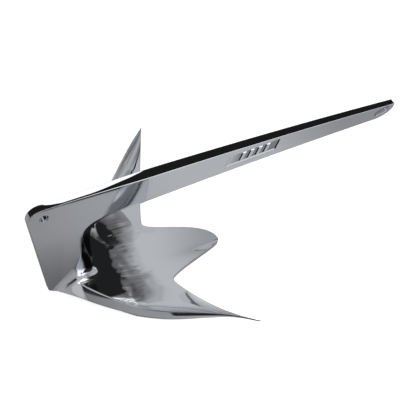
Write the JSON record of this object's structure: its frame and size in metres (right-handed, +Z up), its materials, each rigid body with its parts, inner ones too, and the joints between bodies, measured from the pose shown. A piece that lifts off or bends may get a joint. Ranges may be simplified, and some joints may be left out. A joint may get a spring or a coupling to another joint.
{
  "type": "claw anchor",
  "caption": "Rigid claw-type boat anchor in polished stainless steel: long flat shank with a shackle slot, crown plate with a trip-line hole, curved palm with three flukes.",
  "frame": {"origin": "on the ground under the middle of the anchor's length, with the anchor standing on the flat of its palm's belly and its shank level", "axes": "+X from the crown towards the shackle end of the shank, +Y to port (away from the side with the panel), +Z up"},
  "size_m": [0.4468, 0.298, 0.182],
  "materials": {
    "polished_stainless": "mirror polished",
    "polished_weld": "ground and polished flush"
  },
  "bodies": {
    "root": {"shank_bar": "polished_stainless", "crown_plate": "polished_stainless", "palm": "polished_stainless", "port_fluke": "polished_stainless", "starboard_fluke": "polished_stainless", "shank_weld": "polished_weld", "port_fluke_weld": "polished_weld", "starboard_fluke_weld": "polished_weld", "port_root_weld": "polished_weld", "starboard_root_weld": "polished_weld"}
  },
  "joints": []
}
